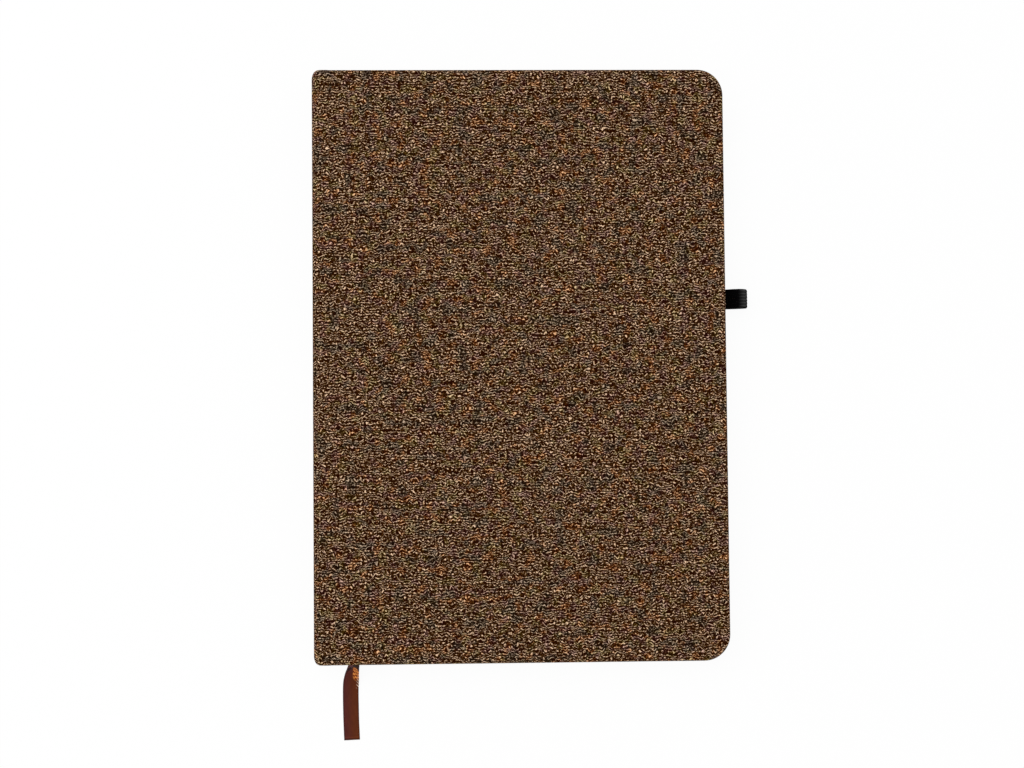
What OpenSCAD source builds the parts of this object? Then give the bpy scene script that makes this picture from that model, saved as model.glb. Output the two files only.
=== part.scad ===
// Case-bound notebook with cloth-covered boards, a pen loop and a ribbon marker.
// It lies on its back cover: X runs from the spine to the fore edge, Y from tail to head and Z up.
// The origin is the centre of the back cover's outer face. All sizes are in millimetres.

/* [Cover] */
// Width of the cover from the spine to the fore edge
cover_w = 146.5; // [100:0.5:220]
// Height of the cover from tail to head
cover_h = 210; // [140:1:310]
// Radius of the two fore edge corners, seen from above
corner_r = 9.2; // [5:0.1:14]
// Radius of the corners at the spine's two ends, seen from above
spine_corner_r = 2.5; // [2.2:0.1:3.5]
// Thickness of the two boards
board_t = 1.8; // [1.6:0.1:3]
// Thickness of the covering cloth
cloth_t = 0.6; // [0.4:0.05:0.75]
// Rounding of the cloth over the edges of a board
edge_r = 1; // [0.6:0.1:1.2]
// Width of the cloth that is turned in over the inner face of a board
turn_in = 15; // [12:1:20]
// Width of the reinforcing strip along each board's spine edge
strip_w = 14; // [8:1:20]
// Thickness of one endpaper
endpaper_t = 0.15; // [0.1:0.01:0.25]

/* [Spine] */
// Radius of the spine's two long edges
spine_r = 4; // [3:0.1:4.5]
// Thickness of the card strip inside the spine
card_t = 0.6; // [0.4:0.1:1]
// Thickness of the lining glued to the spine of the pages
lining_t = 0.4; // [0.2:0.05:0.6]
// Free space between the spine's cloth and the lining of the pages
hollow_gap = 0.5; // [0.3:0.1:1]
// Distance from the pages' spine face to the two hinge lines
hinge_inset = 0.3; // [0.2:0.1:0.6]
// Clearance between an endpaper's edge and its hinge line
hinge_gap = 0.3; // [0.2:0.05:0.5]
// Clearance between a cover laid right back and the spine
open_gap = 1; // [0.6:0.1:2]

/* [Pages] */
// Thickness of the page block
block_t = 7.8; // [5:0.1:20]
// Distance from the cover's edges in to the pages
square_w = 3; // [2:0.5:4]
// Play between the front flyleaf and the front cover, where the ribbon lies
front_play = 0.5; // [0.4:0.05:0.9]
// Play between the back flyleaf and the back cover
back_play = 0.1; // [0.05:0.05:0.3]

/* [Head and tail bands] */
// Diameter of the rolled bead of a band
bead_d = 1.8; // [1.2:0.1:2.2]
// Length of a band's tape down the spine of the pages
band_tape = 9; // [5:1:15]

/* [Pen loop] */
// Width of the elastic
loop_w = 7; // [6:0.5:12]
// Thickness of the elastic
loop_t = 0.8; // [0.5:0.05:0.9]
// Reach of the loop beyond the cover's edge
loop_reach = 9.7; // [8.5:0.1:12]
// Height of the loop
loop_h = 8; // [8:0.5:12]
// Distance from the middle of the cover up to the middle of the loop
loop_y = 23.6; // [-60:0.1:60]
// Length of the elastic's ends glued inside the back cover
loop_tail = 12; // [8:1:14]

/* [Ribbon marker] */
// Width of the ribbon
ribbon_w = 5.6; // [4:0.1:7]
// Thickness of the ribbon
ribbon_t = 0.25; // [0.15:0.05:0.3]

/* [Hidden] */
$fn = 96;

// Depth that a cut runs past the faces it opens
past = 1;

// A board with its cloth on both sides, and a whole cover with its endpaper
slab_t = board_t + 2 * cloth_t;
cover_t = slab_t + endpaper_t;

// Heights of the pages and of the whole notebook
block_z = cover_t + back_play + endpaper_t;
block_top = block_z + block_t;
body_t = block_top + endpaper_t + front_play + cover_t;

// Places along X, measured from the spine's outer face
spine_in = 2 * cloth_t + card_t;
block_x = spine_in + hollow_gap + lining_t;
hinge_x = block_x + hinge_inset;
board_x = 2 * hinge_x + open_gap;

// The pages' fore edge, their half height and their corner radius
page_x = cover_w - square_w;
page_y = cover_h / 2 - square_w;
page_r = corner_r - square_w;

// Thickness of the loop's two ends together and the height of their middle
tail_t = 2 * loop_t;
tail_z = slab_t - loop_t;
// Clearance between the loop and what the notebook lies on
loop_floor = 0.3;
// The band's middle rises and falls this far from its ends, less half the band and their offset
band_side = 0.75 * loop_t;
loop_up = loop_floor + loop_h - tail_z - band_side;
loop_down = tail_z - loop_floor - band_side;
// A teardrop is widest at a third of a turn, where its height is 1 / tear_k
tear_k = 1.54;
// The turn at which the loop's two ends have parted, and the step round it, in degrees
loop_start = 18;
loop_step = 6;

// Clearances between the ribbon and what it lies on, and between it and the head band
ribbon_rest = 0.075;
ribbon_gap = 0.35;
// The ribbon's middle beside the head band, on the front flyleaf, and on the surface below
ribbon_x = block_x - lining_t + bead_d + ribbon_gap + ribbon_w / 2;
ribbon_z = block_top + endpaper_t + ribbon_rest + ribbon_t / 2;
ribbon_low = ribbon_rest + ribbon_t / 2;
// The ribbon's way out of the pages and over their head edge, from its place on the flyleaf
ribbon_head = [[0, 0.1, -4.15], [0, 0.5, -4.05], [0, 0.7, -3.55], [0, 0.6, -2.05],
    [0, 0.5, -0.65], [0, 0.3, -0.15], [0, -0.2, 0], [0.1, -4, 0]];
// Its way over the pages' tail edge and out: X and Y from there, the part of its height that
// is left, and its tilt in degrees
ribbon_tail = [
    [5.75, 8, 1, 0], [5.95, 0.5, 1, 0], [5.95, -1.2, 0.97, -10], [6.05, -2.4, 0.88, -22],
    [6.15, -3.3, 0.77, -34], [6.25, -4, 0.63, -42], [6.3, -4.8, 0.47, -47],
    [6.25, -5.8, 0.32, -48], [5.95, -7, 0.19, -39], [5.55, -8.4, 0.1, -23],
    [5.15, -10.8, 0.025, -5], [5.05, -14.2, 0, 0], [5.1, -19.2, 0, 0], [5.2, -24.2, 0, 0],
    [5.45, -30.8, 0, 0]];
// Points along the straight stretch between the two
ribbon_run = 5;
ribbon_from = let (p = ribbon_head[len(ribbon_head) - 1])
    [ribbon_x + p[0], page_y + p[1], ribbon_z, 0];
ribbon_to = let (p = ribbon_tail[0]) [ribbon_x + p[0], p[1] - page_y, ribbon_z, 0];
ribbon_route = concat(
    [for (p = ribbon_head) [ribbon_x + p[0], page_y + p[1], ribbon_z + p[2], 0]],
    [for (i = [1 : ribbon_run]) ribbon_from + (ribbon_to - ribbon_from) * i / (ribbon_run + 1)],
    [for (p = ribbon_tail) [ribbon_x + p[0], p[1] - page_y,
        ribbon_low + (ribbon_z - ribbon_low) * p[2], p[3]]]);

// Half the ribbon's section, in halves of its width and thickness, with thinner edges
ribbon_edge = [[1, -0.4], [1, 0.4], [0.96, 1], [-0.96, 1]];

// Moves a shape drawn from the spine's outer face into the notebook's own frame
module place() translate([-cover_w / 2, 0, 0]) children();

// Turns a back cover piece over to make the front cover's
module to_front() translate([0, 0, body_t]) mirror([0, 0, 1]) children();

// Plan of the whole cover, drawn in by inset all round
module cover_outline(inset) {
    straight_y = cover_h / 2 - corner_r;
    spine_y = cover_h / 2 - spine_corner_r;
    translate([spine_corner_r, inset - cover_h / 2])
        square([cover_w - corner_r - spine_corner_r, cover_h - 2 * inset]);
    translate([inset, -spine_y]) square([spine_corner_r - inset + past, 2 * spine_y]);
    translate([cover_w - corner_r - past, -straight_y])
        square([corner_r - inset + past, 2 * straight_y]);
    for (side = [-1, 1]) {
        translate([spine_corner_r, side * spine_y]) circle(r = spine_corner_r - inset);
        translate([cover_w - corner_r, side * straight_y]) circle(r = corner_r - inset);
    }
}

// Plan of a sheet that starts at x and has rounded fore edge corners
module sheet_outline(x) {
    straight_y = page_y - page_r;
    translate([x, -page_y]) square([page_x - page_r - x, 2 * page_y]);
    translate([x, -straight_y]) square([page_x - x, 2 * straight_y]);
    for (side = [-1, 1]) translate([page_x - page_r, side * straight_y]) circle(r = page_r);
}

// Opening between the turned-in edges, the spine side strip and the middle of a board
module window_outline(inset) {
    window_x = board_x + strip_w + inset;
    window_y = cover_h / 2 - turn_in - inset;
    translate([window_x, -window_y])
        square([cover_w - turn_in - inset - window_x, 2 * window_y]);
}

// Section through a cover's rounded rim, from the centre of a corner at x = 0 out to its face
module rim_section() {
    rim_x = corner_r - edge_r;
    square([rim_x, slab_t]);
    translate([rim_x, edge_r]) square([edge_r, slab_t - 2 * edge_r]);
    translate([rim_x, edge_r]) circle(r = edge_r);
    translate([rim_x, slab_t - edge_r]) circle(r = edge_r);
}

// A whole back cover with rounded rims, from the board's spine edge to the fore edge
module cover_slab() {
    straight_y = cover_h / 2 - corner_r;
    straight_x = cover_w - corner_r;
    translate([board_x, -straight_y, 0]) cube([straight_x - board_x, 2 * straight_y, slab_t]);
    translate([straight_x, straight_y, 0]) rotate([90, 0, 0])
        linear_extrude(2 * straight_y) rim_section();
    for (side = [0, 1]) mirror([0, side, 0]) {
        translate([board_x, straight_y, 0]) rotate([90, 0, 90])
            linear_extrude(straight_x - board_x) rim_section();
        translate([straight_x, straight_y, 0]) rotate_extrude(angle = 90) rim_section();
    }
}

// A plain board, inside the cloth
module board_slab() {
    translate([0, 0, cloth_t]) linear_extrude(board_t) intersection() {
        cover_outline(cloth_t);
        translate([board_x, -cover_h / 2]) square([cover_w - board_x, cover_h]);
    }
}

// The channel that the ends of the pen loop are pressed into
module loop_channel() {
    translate([cover_w - loop_tail, loop_y - loop_w / 2, tail_z - loop_t])
        cube([loop_tail + past, loop_w, tail_t + past]);
}

// The back cover's cloth, round the board and turned in over three of its edges
module cover_cloth() {
    difference() {
        cover_slab();
        translate([0, 0, cloth_t]) linear_extrude(board_t) intersection() {
            cover_outline(cloth_t);
            translate([board_x - past, -cover_h / 2]) square([cover_w, cover_h]);
        }
        translate([board_x - past, turn_in - cover_h / 2, slab_t - cloth_t])
            cube([cover_w - turn_in - board_x + past, cover_h - 2 * turn_in, cloth_t + past]);
    }
}

// The strip that reinforces a joint, glued along the spine edge of the board
module joint_strip() {
    strip_y = cover_h / 2 - turn_in;
    translate([board_x, -strip_y, slab_t - cloth_t]) cube([strip_w, 2 * strip_y, cloth_t]);
}

// The endpaper half that is pasted to the back cover and dips between the turned-in edges
module pastedown() {
    difference() {
        union() {
            translate([0, 0, slab_t]) linear_extrude(endpaper_t)
                sheet_outline(hinge_x + hinge_gap);
            translate([0, 0, slab_t - cloth_t]) linear_extrude(cloth_t + endpaper_t)
                window_outline(0);
        }
        translate([0, 0, slab_t - cloth_t + endpaper_t]) linear_extrude(cloth_t + past)
            window_outline(endpaper_t);
    }
}

// Section through the cloth round one long edge of the spine, of thickness t
module hinge_section(t) {
    translate([spine_r, spine_r]) intersection() {
        difference() {
            circle(r = spine_r);
            circle(r = spine_r - t);
        }
        translate([-spine_r, -spine_r]) square(spine_r);
    }
    translate([spine_r, 0]) square([board_x - spine_r, t]);
}

// The cloth that bends between the spine and the back cover, doubled where it is turned in
module hinge_cloth() {
    intersection() {
        union() {
            rotate([90, 0, 0]) linear_extrude(cover_h, center = true) hinge_section(cloth_t);
            for (side = [-1, 1]) translate([0, side * (cover_h - turn_in) / 2, 0])
                rotate([90, 0, 0]) linear_extrude(turn_in, center = true)
                    hinge_section(2 * cloth_t);
        }
        linear_extrude(body_t) cover_outline(0);
    }
}

// The card strip that keeps the spine flat
module card_slab() {
    intersection() {
        translate([cloth_t, -cover_h / 2, spine_r])
            cube([card_t, cover_h, body_t - 2 * spine_r]);
        linear_extrude(body_t) cover_outline(cloth_t);
    }
}

// One leaf, or a block of leaves, of thickness t
module leaves(z, t) translate([0, 0, z]) linear_extrude(t) sheet_outline(block_x);

// A band at the head: a rolled bead on the pages' edge, and its tape down their spine
module band() {
    translate([block_x - lining_t, page_y - band_tape, block_z])
        cube([lining_t, band_tape + bead_d / 2, block_t]);
    translate([block_x - lining_t + bead_d / 2, page_y + bead_d / 2, block_z])
        cylinder(d = bead_d, h = block_t);
}

// A vector's direction
function unit(v) = v / norm(v);

// Middle of the elastic band, from the top of its ends round the loop to their underside
function loop_mid(turn) = [
    (loop_reach - loop_t / 2) * (1 - cos(turn)) / 2,
    loop_t / 2 * cos(turn / 2)
        + tear_k * (turn < 180 ? loop_up : loop_down) * sin(turn) * pow(sin(turn / 2), 2)];

// The band's inner face where side is 1 and its outer face where side is -1
function loop_face(turn, side) = let (
    dir = unit(loop_mid(turn + loop_step / 2) - loop_mid(turn - loop_step / 2)))
    loop_mid(turn) + side * loop_t / 2 * [dir[1], -dir[0]];

// Outline of the elastic, seen along Y, from the cover's edge and the middle of its ends
module loop_section() {
    turns = [loop_start : loop_step : 360 - loop_start];
    polygon(concat([[-loop_tail, loop_t], [0, loop_t]],
        [for (turn = turns) loop_face(turn, -1)], [[0, -loop_t], [-loop_tail, -loop_t]]));
}

// Outline of the space inside the loop, from the same place
module loop_space() {
    turns = [loop_start : loop_step : 360 - loop_start];
    polygon([for (turn = turns) loop_face(turn, 1)]);
}

// Direction along the ribbon, and the direction across it where it is tilted
function along(route, i) = unit([for (k = [0 : 2])
    route[min(i + 1, len(route) - 1)][k] - route[max(i - 1, 0)][k]]);
function across(dir, tilt) = let (
    flat = unit([1, 0, 0] - dir * dir[0]), up = cross(flat, dir))
    flat * cos(tilt) + up * sin(tilt);

// Eight points round the ribbon at one point of its route
function ribbon_ring(route, i) = let (
    dir = along(route, i), wide = across(dir, route[i][3]), face = cross(wide, dir),
    mid = [route[i][0], route[i][1], route[i][2]])
    [for (x = [1, -1], p = ribbon_edge)
        mid + wide * x * p[0] * ribbon_w / 2 + face * x * p[1] * ribbon_t / 2];

// A strip swept along the route
module ribbon_strip(route) {
    sides = 8;
    rings = len(route);
    points = [for (i = [0 : rings - 1]) each ribbon_ring(route, i)];
    walls = [for (i = [0 : rings - 2], s = [0 : sides - 1]) let (
        a = i * sides + s, b = i * sides + (s + 1) % sides)
        each [[a, a + sides, b], [b, a + sides, b + sides]]];
    first = [for (s = [0 : sides - 1]) s];
    last = [for (s = [sides - 1 : -1 : 0]) (rings - 1) * sides + s];
    polyhedron(points, concat(walls, [first, last]), convexity = 4);
}

module front_board() color([0.55, 0.53, 0.5]) place() to_front() board_slab();

module back_board() color([0.55, 0.53, 0.5]) place() difference() {
    board_slab();
    loop_channel();
}

module front_cover_cloth() color([0.36, 0.26, 0.18]) place() to_front() cover_cloth();

module back_cover_cloth() color([0.36, 0.26, 0.18]) place() difference() {
    cover_cloth();
    loop_channel();
}

module spine_cloth() color([0.36, 0.26, 0.18]) place() {
    flat_h = body_t - 2 * spine_r;
    difference() {
        intersection() {
            union() {
                translate([0, -cover_h / 2, spine_r]) cube([cloth_t, cover_h, flat_h]);
                for (side = [0, 1]) mirror([0, side, 0])
                    translate([0, cover_h / 2 - turn_in, spine_r])
                        cube([spine_in, turn_in, flat_h]);
            }
            linear_extrude(body_t) cover_outline(0);
        }
        card_slab();
    }
}

module front_hinge_cloth() color([0.36, 0.26, 0.18]) place() to_front() hinge_cloth();

module back_hinge_cloth() color([0.36, 0.26, 0.18]) place() hinge_cloth();

module spine_card() color([0.55, 0.53, 0.5]) place() card_slab();

module front_joint_strip() color([0.85, 0.84, 0.8]) place() to_front() joint_strip();

module back_joint_strip() color([0.85, 0.84, 0.8]) place() joint_strip();

module front_pastedown() color([0.93, 0.9, 0.82]) place() to_front() pastedown();

module back_pastedown() color([0.93, 0.9, 0.82]) place() pastedown();

module front_flyleaf() color([0.93, 0.9, 0.82]) place() leaves(block_top, endpaper_t);

module back_flyleaf() color([0.93, 0.9, 0.82]) place()
    leaves(block_z - endpaper_t, endpaper_t);

module page_block() color([0.94, 0.92, 0.85]) place() leaves(block_z, block_t);

module spine_lining() color([0.8, 0.78, 0.72]) place() {
    lining_y = page_y - band_tape;
    translate([block_x - lining_t, -lining_y, block_z]) cube([lining_t, 2 * lining_y, block_t]);
}

module head_band() color([0.35, 0.2, 0.12]) place() band();

module tail_band() color([0.35, 0.2, 0.12]) place() mirror([0, 1, 0]) band();

module pen_loop() color([0.08, 0.08, 0.09]) place()
    translate([cover_w, loop_y, tail_z]) rotate([90, 0, 0])
        linear_extrude(loop_w, center = true) difference() {
            loop_section();
            loop_space();
        }

module ribbon_marker() color([0.34, 0.16, 0.1]) place() ribbon_strip(ribbon_route);

front_board();
back_board();
front_cover_cloth();
back_cover_cloth();
spine_cloth();
front_hinge_cloth();
back_hinge_cloth();
spine_card();
front_joint_strip();
back_joint_strip();
front_pastedown();
back_pastedown();
front_flyleaf();
back_flyleaf();
page_block();
spine_lining();
head_band();
tail_band();
pen_loop();
ribbon_marker();
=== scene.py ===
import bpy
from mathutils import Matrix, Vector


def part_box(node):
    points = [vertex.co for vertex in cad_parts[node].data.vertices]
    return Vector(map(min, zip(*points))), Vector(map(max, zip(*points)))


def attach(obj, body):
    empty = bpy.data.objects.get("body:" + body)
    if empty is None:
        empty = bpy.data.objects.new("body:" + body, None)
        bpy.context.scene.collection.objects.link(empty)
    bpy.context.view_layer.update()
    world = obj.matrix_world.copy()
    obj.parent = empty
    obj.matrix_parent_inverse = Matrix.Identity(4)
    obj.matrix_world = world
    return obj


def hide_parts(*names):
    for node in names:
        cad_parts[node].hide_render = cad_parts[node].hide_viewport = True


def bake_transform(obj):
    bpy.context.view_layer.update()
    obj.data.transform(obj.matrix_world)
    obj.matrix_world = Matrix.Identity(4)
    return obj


bl_info = {
    "name": "Cloth Notebook",
    "version": (1, 0, 0),
    "blender": (4, 5, 0),
    "location": "View3D > Sidebar > Notebook",
    "description": "A cloth covered notebook with a pen loop and a ribbon marker",
    "category": "Add Mesh",
}

import math
import random

import bmesh
import bpy
from bpy.props import FloatProperty, FloatVectorProperty, IntProperty, PointerProperty
from mathutils import Matrix, Vector

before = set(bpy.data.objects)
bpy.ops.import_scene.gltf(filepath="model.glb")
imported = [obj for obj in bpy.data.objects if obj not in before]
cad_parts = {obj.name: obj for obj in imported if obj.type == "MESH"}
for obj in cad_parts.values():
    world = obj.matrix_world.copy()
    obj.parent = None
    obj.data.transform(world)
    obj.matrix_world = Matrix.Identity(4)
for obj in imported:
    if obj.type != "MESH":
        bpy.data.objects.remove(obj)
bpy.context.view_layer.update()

MM = 0.001

# Corners of the solids that the pieces are fitted to
SLAB_LO, SLAB_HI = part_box("back_cover_cloth")
SPINE_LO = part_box("spine_cloth")[0]
CARD_LO, CARD_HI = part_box("spine_card")
PAGES_LO, PAGES_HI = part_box("page_block")

# The spine's outer face, the board's spine edge and the cover's fore edge
SPINE_X, BOARD_X, FORE_X = SPINE_LO.x, SLAB_LO.x, SLAB_HI.x
# Half the cover's height, the thickness of one cover and of the case, and the spine's rounding
HALF_Y, SLAB_T = SLAB_HI.y, SLAB_HI.z
CASE_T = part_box("front_cover_cloth")[1].z
SPINE_R = SPINE_LO.z

# Clearance between two pieces that would touch
CLEAR = 0.05 * MM


def colour(name, text, default):
    return FloatVectorProperty(
        name=name, description=text, default=default, size=3, subtype="COLOR", min=0, max=1)


def length(name, text, default, low, high):
    """A length with its default and its limits in millimetres."""
    return FloatProperty(
        name=name, description=text, default=default * MM, min=low * MM, max=high * MM,
        unit="LENGTH", precision=5)


def count(name, text, default, low, high):
    return IntProperty(name=name, description=text, default=default, min=low, max=high)


def from_screen(red, green, blue):
    """The linear colour of three screen levels from 0 to 255."""
    return tuple(
        level / 12.92 if level <= 0.04045 else ((level + 0.055) / 1.055) ** 2.4
        for level in (red / 255, green / 255, blue / 255))


class CoverSettings(bpy.types.PropertyGroup):
    corner: length("Corner radius", "Radius of the fore edge corners", 9.2, 5, 14)
    rim: length("Rim radius", "Rounding of the cloth over a board's edge", 1, 0.6, 1.4)
    spine_corner: length("Spine corner", "Radius of the corners at the spine's ends", 2.5, 2, 3.5)
    cloth: length("Cloth", "Thickness of the covering cloth", 0.6, 0.4, 0.7)
    turn_in: length("Turn-in", "Width of the cloth turned in over a board", 15, 12, 20)


class TweedSettings(bpy.types.PropertyGroup):
    fleck_long: length("Fleck length", "Length of a fleck, across the cover", 0.85, 0.5, 3)
    fleck_high: length("Fleck pitch", "Distance between rows of flecks", 1.04, 0.6, 3)
    gap: colour("Gaps", "Colour between the yarns", from_screen(34, 6, 0))
    low: colour("Dark yarn", "Colour of the dark yarn", from_screen(57, 31, 4))
    middle: colour("Brown yarn", "Colour of the brown yarn", from_screen(94, 61, 22))
    high: colour("Tan yarn", "Colour of the tan flecks", from_screen(243, 207, 172))


class PaperSettings(bpy.types.PropertyGroup):
    leaves: count("Leaves", "Number of leaves", 78, 20, 160)
    stagger: length("Stagger", "How far a leaf lies out of line", 0.12, 0, 0.5)
    corner: length("Corner radius", "Radius of the leaves' corners", 6.2, 2, 12)
    thick: length("Endpaper", "Thickness of an endpaper", 0.15, 0.1, 0.25)
    tone: colour("Leaves' colour", "Colour of the leaves", (0.86, 0.83, 0.74))
    endpaper: colour("Endpaper colour", "Colour of the endpapers", (0.84, 0.80, 0.70))


class BandSettings(bpy.types.PropertyGroup):
    bead: length("Bead", "Diameter of the bead", 1.8, 1.2, 2.2)
    turns: count("Turns", "Thread turns on a bead", 20, 6, 40)
    dark: colour("Dark thread", "Colour of the dark thread", from_screen(84, 46, 26))
    pale: colour("Pale thread", "Colour of the pale thread", from_screen(214, 196, 160))


class LoopSettings(bpy.types.PropertyGroup):
    width: length("Width", "Width of the elastic", 7, 6, 12)
    thick: length("Thickness", "Thickness of the elastic", 0.8, 0.5, 0.9)
    cords: count("Cords", "Rubber cords in the elastic", 6, 3, 12)
    tone: colour("Colour", "Colour of the elastic", from_screen(6, 5, 6))
    # The colour of the painted highlight on the cords beside the fold
    fold_highlight: colour("Rubbed", "Colour of the cords beside the fold", from_screen(62, 62, 62))


class RibbonSettings(bpy.types.PropertyGroup):
    width: length("Width", "Width of the ribbon", 5.6, 3, 8)
    thick: length("Thickness", "Thickness of the ribbon", 0.25, 0.15, 0.4)
    tone: colour("Colour", "Colour of the satin", from_screen(96, 44, 18))
    # The colour of the painted sheen where the ribbon bends
    sheen: colour("Sheen", "Colour of the satin's sheen", from_screen(232, 146, 70))


class StageSettings(bpy.types.PropertyGroup):
    floor: length("Floor", "Width of the floor", 12000, 2000, 40000)
    sky: FloatProperty(
        name="Sky", description="Level of the light all round", default=0.66, min=0, max=2)
    lamp: FloatProperty(
        name="Lamp", description="Power of the lamp", default=8.8, min=0, max=50, unit="POWER")


# Shading


class Wire:
    """A value in a material. Sums and products of wires add Math nodes."""

    def __init__(self, finish, socket):
        self.finish = finish
        self.socket = socket

    def out(self, name):
        return Wire(self.finish, self.socket.node.outputs[name])

    def maths(self, operation, *values):
        return self.finish.node("Math", {"operation": operation}, dict(enumerate(values)))

    def __add__(self, other):
        return self.maths("ADD", self, other)

    __radd__ = __add__

    def __sub__(self, other):
        return self.maths("SUBTRACT", self, other)

    def __rsub__(self, other):
        return self.maths("SUBTRACT", other, self)

    def __mul__(self, other):
        return self.maths("MULTIPLY", self, other)

    __rmul__ = __mul__

    def __truediv__(self, other):
        return self.maths("DIVIDE", self, other)

    def __rtruediv__(self, other):
        return self.maths("DIVIDE", other, self)

    def sine(self):
        return self.maths("SINE", self)

    def wave(self, pitch):
        """A sine that repeats after each pitch."""
        return (self * (2 * math.pi / pitch)).sine()

    def abs(self):
        return self.maths("ABSOLUTE", self)

    def clamp(self):
        return self.finish.node("Clamp", {}, {"Value": self})

    def step(self, low, high):
        """From 0 at low to 1 at high, smoothly."""
        return self.finish.node(
            "MapRange", {"interpolation_type": "SMOOTHSTEP"},
            {"Value": self, "From Min": low, "From Max": high})


class Finish:
    """A material of the notebook, made of shader nodes."""

    def __init__(self, name, kind="materials"):
        self.material = getattr(bpy.data, kind).new(name)
        self.material.use_nodes = True
        self.tree = self.material.node_tree
        self.tree.nodes.clear()

    def node(self, kind, settings, values, output=0):
        """Adds a node: its settings come first, then the values or wires of its sockets."""
        node = self.tree.nodes.new("ShaderNode" + kind)
        for key, value in settings.items():
            if key == "stops":
                self.set_stops(node.color_ramp, value)
            else:
                setattr(node, key, value)
        for key, value in values.items():
            if isinstance(value, Wire):
                self.tree.links.new(value.socket, node.inputs[key])
            else:
                node.inputs[key].default_value = value
        return Wire(self, node.outputs[output])

    @staticmethod
    def set_stops(ramp, stops):
        while len(ramp.elements) < len(stops):
            ramp.elements.new(0.5)
        for element, (place, shade) in zip(ramp.elements, sorted(stops)):
            element.position = place
            element.color = (*shade, 1)

    def ramp(self, factor, stops):
        return self.node("ValToRGB", {"stops": stops}, {"Fac": factor})

    def mix(self, factor, first, second, way="MIX"):
        """Mixes two colours."""
        sockets = {0: factor}
        for key, value in ((6, first), (7, second)):
            sockets[key] = value if isinstance(value, Wire) else (*value, 1)
        return self.node(
            "Mix", {"data_type": "RGBA", "blend_type": way, "clamp_factor": True}, sockets, 2)

    def noise(self, vector, sizes, detail=2.0, rough=0.5, space="3D"):
        """Noise with a grain of the given sizes."""
        return self.node(
            "TexNoise", {"noise_dimensions": space},
            {"Vector": self.scaled(vector, sizes), "Scale": 1.0, "Detail": detail,
             "Roughness": rough})

    def axes(self, vector):
        """The three parts of a vector."""
        x = self.node("SeparateXYZ", {}, {"Vector": vector})
        return x, x.out("Y"), x.out("Z")

    def place(self):
        return self.node("TexCoord", {}, {}, "Object")

    def run(self, name):
        """A piece's own run of coordinates, stored on its points in metres."""
        return self.node("Attribute", {"attribute_name": name}, {}, "Vector")

    def vector(self, operation, first, second):
        return self.node("VectorMath", {"operation": operation}, {0: first, 1: second})

    def scaled(self, vector, sizes):
        """The vector in units of the given sizes in millimetres, one for each axis."""
        return self.vector("MULTIPLY", vector, [1 / (size * MM) for size in sizes])

    def moved(self, vector, offset, sizes):
        """The vector plus an offset's spread from its middle, times sizes."""
        spread = self.vector("SUBTRACT", offset, (0.5, 0.5, 0.5))
        return self.vector("ADD", vector, self.vector("MULTIPLY", spread, sizes))

    def bump(self, height, strength, depth):
        """A bump with a depth in millimetres."""
        return self.node(
            "Bump", {}, {"Height": height, "Strength": strength, "Distance": depth * MM}, "Normal")

    def surface(self, **sockets):
        """Ends the material in one Principled shader. Socket names have _ for a space."""
        values = {key.replace("_", " "): value for key, value in sockets.items()}
        self.ends(self.node("BsdfPrincipled", {}, values, "BSDF"))
        return self.material

    def ends(self, shader, kind="Material"):
        out = self.tree.nodes.new("ShaderNodeOutput" + kind)
        self.tree.links.new(shader.socket, out.inputs["Surface"])


# Tints of other yarns in the tweed: the width and height of a tint's patches in millimetres, then
# the screen levels of its dark, middle and pale yarn
TINTS = (
    (4.4, 3.5, (42, 8, 0), (118, 63, 20), (252, 187, 128)),
    (4.7, 3.7, (30, 14, 0), (90, 67, 16), (224, 200, 148)),
    (4.1, 3.4, (35, 6, 5), (72, 40, 32), (208, 167, 154)),
    (5.6, 4.4, (18, 11, 5), (48, 39, 26), (180, 162, 140)))
TINT_SHARE = 0.67

# A grain size in millimetres that leaves an axis even
FAR = 1e6


def tweed(settings):
    """Heathered tweed: wavy tan flecks over dark gaps, with tints of other yarns."""
    f = Finish("tweed cloth")
    run = f.run("cloth_run")
    # The yarn sways, its rows break into flecks of fibres, and clouds make it paler or darker
    sway = f.noise(run, (2.2, 2.8, 1), detail=1.0, space="2D")
    run = f.moved(run, sway.out("Color"), (0.9 * MM, 2.2 * MM, 0))
    rows = f.axes(run)[1].wave(settings.fleck_high)
    broken = f.noise(run, (settings.fleck_long / MM, 0.28, 1), detail=0.0, space="2D")
    fibre = f.noise(run, (0.5, 0.2, 1), detail=0.0, space="2D")
    cloud = f.noise(run, (3.6, 2.8, 1), detail=3.0, space="2D")
    level = (
        0.4 + rows * 0.26 + (broken - 0.5) * 1.4 + (fibre - 0.5) * 1.3 + (cloud - 0.5) * 0.5)
    yarn = f.ramp(level, [
        (0.25, settings.gap), (0.5, settings.low), (0.73, settings.middle), (1.0, settings.high)])
    for wide, tall, *tones in TINTS:
        patch = f.noise(run, (wide, tall, 1), space="2D")
        dark, middle, pale = (from_screen(*tone) for tone in tones)
        tint = f.ramp(level, [(0.25, dark), (0.66, middle), (1.0, pale)])
        yarn = f.mix(patch.step(0.55, 0.67) * TINT_SHARE, yarn, tint)
    return f.surface(
        Base_Color=yarn, Roughness=0.95, Specular_IOR_Level=0.02, Normal=f.bump(level, 0.3, 0.12))


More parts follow.
